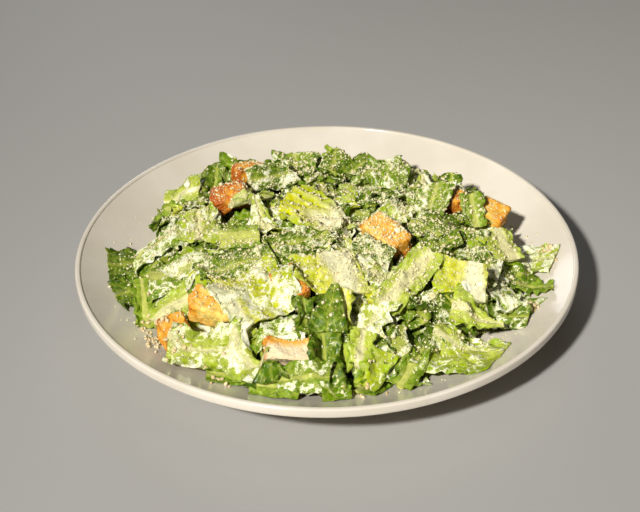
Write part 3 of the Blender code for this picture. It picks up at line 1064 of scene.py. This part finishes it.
# Crumb shapes: a round one with twenty faces for bread and a small one with eight for cheese.
ICO = (1 + math.sqrt(5)) / 2
ICO_CORNERS = [np.roll((a, b, 0), turn) for turn in range(3) for b in (ICO, -ICO) for a in (-1, 1)]
ICO_POINTS = np.array(ICO_CORNERS) / math.hypot(1, ICO)
ICO_FACES = np.array([
    (0, 11, 5), (0, 5, 1), (0, 1, 7), (0, 7, 10), (0, 10, 11), (1, 5, 9), (5, 11, 4), (11, 10, 2),
    (10, 7, 6), (7, 1, 8), (3, 9, 4), (3, 4, 2), (3, 2, 6), (3, 6, 8), (3, 8, 9), (4, 9, 5),
    (2, 4, 11), (6, 2, 10), (8, 6, 7), (9, 8, 1),
])
OCTA_POINTS = np.array([(1, 0, 0), (-1, 0, 0), (0, 1, 0), (0, -1, 0), (0, 0, 1), (0, 0, -1)], float)
OCTA_FACES = np.array([
    (0, 2, 4), (2, 1, 4), (1, 3, 4), (3, 0, 4), (2, 0, 5), (1, 2, 5), (3, 1, 5), (0, 3, 5),
])
CRUMB_SEAT = 0.35  # how far a crumb's middle stands off what it lies on, as a share of its size
FALL = 90.0  # the height that crumbs and cheese fall from

# Cheese: how far out it lies, and its grains: the common size, how much sizes vary, and the largest.
CHEESE_REACH = 124.0
CHEESE_SIZE = 0.34
CHEESE_SPREAD = 0.55
CHEESE_LARGEST = 1.4


def crumbs_piece(name, spots, shape, faces, material, numbers):
    """One mesh of loose crumbs, each a rough copy of the given shape, at (place, normal, size) spots."""
    points, made = [], []
    for place, normal, size in spots:
        stretch = numbers.uniform(0.65, 1.35, 3)
        corners = shape * numbers.uniform(0.7, 1.25, (len(shape), 1)) * stretch * size
        turn = np.array(Matrix.Rotation(numbers.uniform(0, math.tau), 3, numbers.normal(size=3).tolist()))
        points.append(corners @ turn.T + np.array(place[:]) / MM + np.array(normal[:]) * size * CRUMB_SEAT)
        made.append(faces + len(made) * len(shape))
    return make_piece(name, np.concatenate(points), np.concatenate(made), material, smooth=False)


def grate_cheese(tree, material, chance):
    """Grated hard cheese: crumbs of many sizes, thickest in the drifts."""
    spots = []
    for _ in range(CHEESE_GRAINS * 12):
        if len(spots) == CHEESE_GRAINS:
            break
        _, x, y = random_place(chance, inset=-2)
        if chance.random() > 0.02 + 1.3 * float(cheese_thickness(np.float64(x), np.float64(y))):
            continue
        lean = Vector((chance.gauss(0, 0.35), chance.gauss(-0.25, 0.35), -1)).normalized()
        spot, normal, _, _ = tree.ray_cast(Vector((x, y, 0)) * MM - lean * (FALL * MM), lean)
        if spot is not None and math.hypot(spot.x, spot.y) < CHEESE_REACH * MM:
            size = CHEESE_SIZE * math.exp(chance.gauss(0.0, CHEESE_SPREAD))
            spots.append((spot, normal, min(CHEESE_LARGEST, size)))
    numbers = np.random.default_rng(SEED)
    return crumbs_piece("grated_cheese", spots, OCTA_POINTS, OCTA_FACES, material, numbers)


# Bread crumbs that have rolled to the heap's foot: place, spread in mm, number.
CRUMB_SPOTS = (
    (-98, -53, 3, 14), (-93, -66, 3, 18), (-87, -76, 3, 26), (-80, -88, 3, 14), (-103, 22, 3, 9),
    (124, 6, 3, 14), (109, -44, 3, 18), (-58, -104, 4, 10), (20, -114, 5, 8),
)


def scatter_bread_crumbs(tree, material, chance):
    """Tan crumbs off the croutons."""
    spots = []
    for x, y, spread, count in CRUMB_SPOTS:
        for _ in range(count):
            start = Vector((chance.gauss(x, spread), chance.gauss(y, spread), FALL)) * MM
            spot, normal, _, _ = tree.ray_cast(start, Vector((0, 0, -1)))
            if spot is not None:
                spots.append((spot, normal, chance.uniform(0.5, 1.4)))
    numbers = np.random.default_rng(SEED + 2)
    return crumbs_piece("bread_crumbs", spots, ICO_POINTS, ICO_FACES, material, numbers)


# ---- materials


class Tree:
    """A material's node tree, with a short way to add a node and wire its inputs."""

    def __init__(self, name):
        self.material = bpy.data.materials.new(name)
        self.material.use_nodes = True
        self.nodes = self.material.node_tree.nodes
        self.links = self.material.node_tree.links
        self.shader = self.nodes["Principled BSDF"]
        self.output = self.nodes["Material Output"]
        self.place = self.add("ShaderNodeTexCoord").outputs["Object"]
        self.normal = self.add("ShaderNodeTexCoord").outputs["Normal"]

    def add(self, kind, inputs=None, **settings):
        node = self.nodes.new(kind)
        for key, value in settings.items():
            setattr(node, key, value)
        for key, value in (inputs or {}).items():
            self.put(node.inputs[key], value)
        return node

    def put(self, socket, value):
        if isinstance(value, bpy.types.NodeSocket):
            self.links.new(value, socket)
        else:
            socket.default_value = value

    def noise(self, size, detail=3.0, roughness=0.55):
        """Noise from 0 to 1 with features of about this size in mm."""
        inputs = {"Vector": self.place, "Scale": 1 / (size * MM), "Detail": detail, "Roughness": roughness}
        return self.add("ShaderNodeTexNoise", inputs).outputs["Fac"]

    def math(self, operation, first, second=0.0, third=0.0):
        node = self.add("ShaderNodeMath", operation=operation)
        for socket, value in zip(node.inputs, (first, second, third)):
            self.put(socket, value)
        return node.outputs[0]

    def ramp(self, value, low, high, start=0.0, end=1.0):
        """Goes from start to end as value goes from low to high."""
        node = self.add("ShaderNodeMapRange", interpolation_type="SMOOTHSTEP")
        for socket, item in zip(node.inputs, (value, low, high, start, end)):
            self.put(socket, item)
        return node.outputs[0]

    def cells(self, size):
        return self.add("ShaderNodeTexVoronoi", {"Vector": self.place, "Scale": 1 / (size * MM)})

    def mix(self, share, first, second):
        """A colour between two, each a socket or three values. The node's inputs 6 and 7 are its colours."""
        node = self.add("ShaderNodeMix", {0: share}, data_type="RGBA")
        for index, colour in ((6, first), (7, second)):
            self.put(node.inputs[index], colour if isinstance(colour, bpy.types.NodeSocket) else (*colour, 1))
        return node.outputs[2]

    def grains(self, size, density):
        """Round grains about this far apart in mm, 1 on a grain; density 0 to 1 says how many there are."""
        cells = self.cells(size)
        chosen = self.add("ShaderNodeSeparateColor", {"Color": cells.outputs["Color"]}).outputs["Red"]
        present = self.math("LESS_THAN", chosen, self.math("MULTIPLY", density, 0.85))
        return self.math("MULTIPLY", present, self.ramp(cells.outputs["Distance"], 0.26, 0.44, 1.0, 0.0))

    def attribute(self, name, output="Fac"):
        return self.add("ShaderNodeAttribute", attribute_name=name).outputs[output]

    def bump(self, height, distance, strength=1.0, before=None):
        inputs = {"Height": height, "Distance": distance * MM, "Strength": strength}
        if before is not None:
            inputs["Normal"] = before
        return self.add("ShaderNodeBump", inputs).outputs["Normal"]

    def set(self, **values):
        for key, value in values.items():
            self.put(self.shader.inputs[key.replace("_", " ")], value)


def leaf_material():
    """Romaine under caesar dressing: blade, pale veins and rib, a broken cream film, and a dust of cheese."""
    tree = Tree("dressed_romaine")
    tint = tree.attribute("tint", "Color")
    mottle = tree.noise(3.0, 4)
    fine = tree.noise(0.8, 3, 0.6)
    puckers = tree.cells(2.6).outputs["Distance"]
    shade = tree.ramp(mottle, 0.25, 0.75, 0.84, 1.16)
    varied = tree.add("ShaderNodeHueSaturation", {"Value": shade, "Color": tint}).outputs["Color"]
    leaf = tree.mix(tree.math("MULTIPLY", tree.attribute("vein"), 0.30), varied, srgb(216, 226, 84))
    film = tree.attribute("film")
    rubbed = tree.math("MULTIPLY_ADD", tree.attribute("crest"), -0.30, film)
    streaks = tree.math("MULTIPLY_ADD", tree.math("SUBTRACT", fine, 0.5), 1.7, rubbed)
    cover = tree.math("MULTIPLY_ADD", tree.math("SUBTRACT", mottle, 0.5), 1.2, streaks)
    thin = tree.math("MULTIPLY", tree.ramp(cover, 0.30, 0.78), tree.ramp(film, 0.0, 0.22))
    thick = tree.ramp(cover, 0.68, 0.92)
    filmed = tree.mix(tree.math("MULTIPLY", thin, 0.52), leaf, srgb(230, 236, 146))
    dressed = tree.mix(tree.math("MULTIPLY", thick, 0.90), filmed, CREAM)
    grain = tree.grains(0.95, tree.attribute("dust"))
    colour = tree.mix(grain, dressed, CHEESE)
    pucker = tree.math("SUBTRACT", tree.math("MULTIPLY", mottle, 0.8), tree.math("MULTIPLY", puckers, 0.7))
    wet = tree.math("MULTIPLY_ADD", thin, 0.45, tree.math("MULTIPLY", fine, 0.25))
    relief = tree.math("MULTIPLY_ADD", pucker, tree.attribute("plain"), wet)
    normal = tree.bump(tree.math("ADD", grain, relief), 0.6, 0.9)
    smooth = tree.ramp(fine, 0.3, 0.7, 0.06, 0.20)
    rough = tree.math("MULTIPLY_ADD", grain, 0.3, smooth)
    tree.set(Base_Color=colour, Roughness=rough, Normal=normal, IOR=1.34)
    through = tree.add("ShaderNodeBsdfTranslucent", {"Color": leaf, "Normal": normal})
    share = tree.ramp(thin, 0.0, 1.0, 0.24, 0.06)
    both = tree.add("ShaderNodeMixShader", {0: share, 1: tree.shader.outputs[0], 2: through.outputs[0]})
    tree.put(tree.output.inputs["Surface"], both.outputs[0])
    return tree.material


def dressing_material():
    """Thick caesar dressing: glossy cream with fine flecks."""
    tree = Tree("caesar_dressing")
    flecks = tree.ramp(tree.noise(0.7, 2), 0.66, 0.74)
    colour = tree.mix(tree.math("MULTIPLY", flecks, 0.35), CREAM, srgb(196, 186, 120))
    tree.set(Base_Color=colour, Roughness=0.22, Normal=tree.bump(tree.noise(2.0, 3), 0.6))
    return tree.material


def shaded_core_material():
    tree = Tree("shaded_leaves")
    mottle = tree.noise(4.0, 5)
    fine = tree.noise(1.0, 4)
    # Painted shade: near-black greens for the deep gaps between the leaves.
    colour = tree.mix(tree.ramp(mottle, 0.35, 0.7), srgb(18, 28, 2), srgb(62, 80, 12))
    tree.set(Base_Color=colour, Roughness=0.5, Normal=tree.bump(fine, 0.6))
    return tree.material


def toast_material():
    """Fried bread: gold to orange brown, paler in its pores and where it is cut, dusted with cheese."""
    tree = Tree("toasted_bread")
    mottle = tree.noise(2.5, 5, 0.65)
    fine = tree.noise(0.5, 3)
    level = tree.math("MULTIPLY_ADD", tree.math("SUBTRACT", mottle, 0.5), 1.3, tree.attribute("toasted"))
    light = tree.mix(tree.ramp(level, 0.10, 0.52), srgb(254, 222, 118), srgb(246, 172, 44))
    brown = tree.mix(tree.ramp(level, 0.55, 1.05), light, srgb(190, 94, 16))
    crust = tree.mix(tree.math("MULTIPLY", tree.attribute("pores"), 0.4), brown, srgb(250, 224, 150))
    crumb = tree.mix(mottle, srgb(248, 236, 204), srgb(238, 204, 146))
    bread = tree.mix(tree.attribute("crumb"), crust, crumb)
    upward = tree.add("ShaderNodeSeparateXYZ", {"Vector": tree.normal}).outputs["Z"]
    grain = tree.grains(1.0, tree.ramp(upward, 0.2, 0.8, 0.05, 0.38))
    colour = tree.mix(grain, bread, CHEESE)
    normal = tree.bump(tree.math("ADD", fine, grain), 0.5, 0.8, before=tree.bump(mottle, 0.9, 0.7))
    tree.set(Base_Color=colour, Roughness=tree.ramp(fine, 0.3, 0.7, 0.42, 0.7), Normal=normal)
    tree.set(Subsurface_Weight=0.12, Subsurface_Scale=MM, Subsurface_Radius=(1.0, 0.6, 0.3))
    return tree.material


def crumb_material():
    tree = Tree("bread_crumbs")
    colour = tree.mix(tree.ramp(tree.noise(1.2, 3), 0.35, 0.7), srgb(240, 224, 178), srgb(204, 166, 104))
    tree.set(Base_Color=colour, Roughness=0.7, Normal=tree.bump(tree.noise(0.4, 2), 0.2))
    return tree.material


def cheese_material():
    tree = Tree("hard_cheese")
    fine = tree.noise(1.6, 3)
    colour = tree.mix(tree.ramp(fine, 0.35, 0.75), CHEESE, CHEESE_DEEP)
    tree.set(Base_Color=colour, Roughness=0.55, Normal=tree.bump(tree.noise(0.3, 2), 0.1))
    return tree.material


def glaze_material():
    """Bone glaze: glossy, slightly uneven, with faint specks and bare clay under the foot."""
    tree = Tree("bone_glaze")
    broad = tree.noise(38, 3)
    specks = tree.noise(1.1, 2)
    base = tree.mix(tree.ramp(broad, 0.3, 0.7), srgb(233, 224, 208), srgb(224, 214, 196))
    speckled = tree.mix(tree.ramp(specks, 0.70, 0.78, 0.0, 0.22), base, srgb(190, 166, 132))
    height = tree.add("ShaderNodeSeparateXYZ", {"Vector": tree.place}).outputs["Z"]
    bare = tree.ramp(height, 0.2 * MM, 0.8 * MM, 1.0, 0.0)
    colour = tree.mix(bare, speckled, srgb(206, 190, 162))
    normal = tree.bump(tree.noise(9, 2), 0.25, 0.35)
    tree.set(Base_Color=colour, Roughness=tree.ramp(bare, 0.0, 1.0, 0.14, 0.85), Normal=normal)
    return tree.material


def floor_material():
    tree = Tree("pale_floor")
    tree.set(Base_Color=(0.42, 0.41, 0.39, 1), Roughness=0.6, Normal=tree.bump(tree.noise(3, 3), 0.05))
    return tree.material


# ---- stage


FLOOR_HALF = 1600.0
WORLD_COLOUR = (1, 0.95, 0.82, 1)
WORLD_STRENGTH = 0.042

# Camera: distance from the middle of the plate's rim in metres, and angles in degrees.
CAMERA_DISTANCE = 0.883
CAMERA_ABOVE = 34.06
CAMERA_PITCH = 34.31
CAMERA_YAW = -0.29
CAMERA_ROLL = -0.69
LENS = 88.7
SENSOR_WIDTH = 36


def make_floor():
    size = FLOOR_HALF
    corners = np.array([(-size, -size, 0), (size, -size, 0), (size, size, 0), (-size, size, 0)])
    floor = make_piece("floor", corners, np.array([[0, 1, 2, 3]]), floor_material(), smooth=False)


def add_area(name, place, target, size, power, colour=(1, 1, 1), spread=180):
    """A round lamp that shines from its place to a target, both in metres, within the spread in degrees."""
    data = bpy.data.lights.new(name, "AREA")
    data.shape = "DISK"
    data.size = size
    data.energy = power
    data.color = colour
    data.spread = math.radians(spread)
    light = new_object(name, data)
    light.location = place
    light.rotation_euler = (Vector(target) - Vector(place)).to_track_quat("-Z", "Y").to_euler()
    light.visible_camera = False


def make_lights():
    """A warm key from the front left, and weak lamps from above and behind."""
    add_area(
        "key", place=(-0.9, -1.82, 1.80), target=(0.09, 0, 0.03), size=0.2, power=5.3,
        colour=(1.0, 0.98, 0.94), spread=44,
    )
    add_area("top", place=(0.15, 0.1, 1.1), target=(0, 0, 0.03), size=0.6, power=0.6)
    add_area("back", place=(-0.35, 1.45, 0.42), target=(0, 0.05, 0.02), size=0.6, power=2.6)
    world = bpy.data.worlds.new("studio")
    bpy.context.scene.world = world
    world.use_nodes = True
    background = world.node_tree.nodes["Background"]
    background.inputs["Color"].default_value = WORLD_COLOUR
    background.inputs["Strength"].default_value = WORLD_STRENGTH


def make_camera():
    """The viewer's eye, in front of the plate and above it."""
    above, pitch = math.radians(CAMERA_ABOVE), math.radians(CAMERA_PITCH)
    yaw, roll = math.radians(CAMERA_YAW), math.radians(CAMERA_ROLL)
    data = bpy.data.cameras.new("camera")
    data.sensor_width = SENSOR_WIDTH
    data.lens = LENS
    camera = new_object("camera", data)
    forward = Vector((math.sin(yaw) * math.cos(pitch), math.cos(yaw) * math.cos(pitch), -math.sin(pitch)))
    right = Vector((math.cos(yaw), -math.sin(yaw), 0))
    up = right.cross(forward)
    tilted_right = right * math.cos(roll) + up * math.sin(roll)
    tilted_up = up * math.cos(roll) - right * math.sin(roll)
    camera.matrix_world = Matrix((tilted_right, tilted_up, -forward)).transposed().to_4x4()
    rim = RIM_TOP * MM
    camera.location = (0, -CAMERA_DISTANCE * math.cos(above), CAMERA_DISTANCE * math.sin(above) + rim)
    bpy.context.scene.camera = camera


def main():
    bpy.context.scene.view_settings.view_transform = "Standard"
    buried = {kind: Batch() for kind in ROMAINE}
    shown = {kind: Batch() for kind in KINDS}
    lay_leaves(buried, shown)
    romaine = leaf_material()
    leaves = [buried[kind].build("romaine_lower_" + kind, romaine) for kind in ROMAINE]
    leaves += [shown[kind].build("romaine_upper_" + kind, romaine) for kind in ROMAINE]
    leaves.append(make_core(shaded_core_material()))
    toppings = [shown["dressing"].build("dressing", dressing_material())]
    toast = toast_material()
    croutons = [make_crouton(name, 50 * i, toast) for i, name in enumerate(CROUTONS, start=1)]
    plate = turned_mesh("plate_glazed", plate_profile(), PLATE_TURNS, glaze_material())
    tree = surface_tree([*leaves, *toppings, *croutons, plate])
    toppings.append(grate_cheese(tree, cheese_material(), random.Random(SEED + 1)))
    crumbs = scatter_bread_crumbs(tree, crumb_material(), random.Random(SEED + 2))
    for name, piece in zip(CROUTONS, croutons):
        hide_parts(name)
    for piece in leaves:
        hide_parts("salad_heap")
    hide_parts("plate")
    for piece in [*leaves, *toppings, *croutons, crumbs, plate]:
        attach(piece, "root")
    make_floor()
    make_lights()
    make_camera()


main()
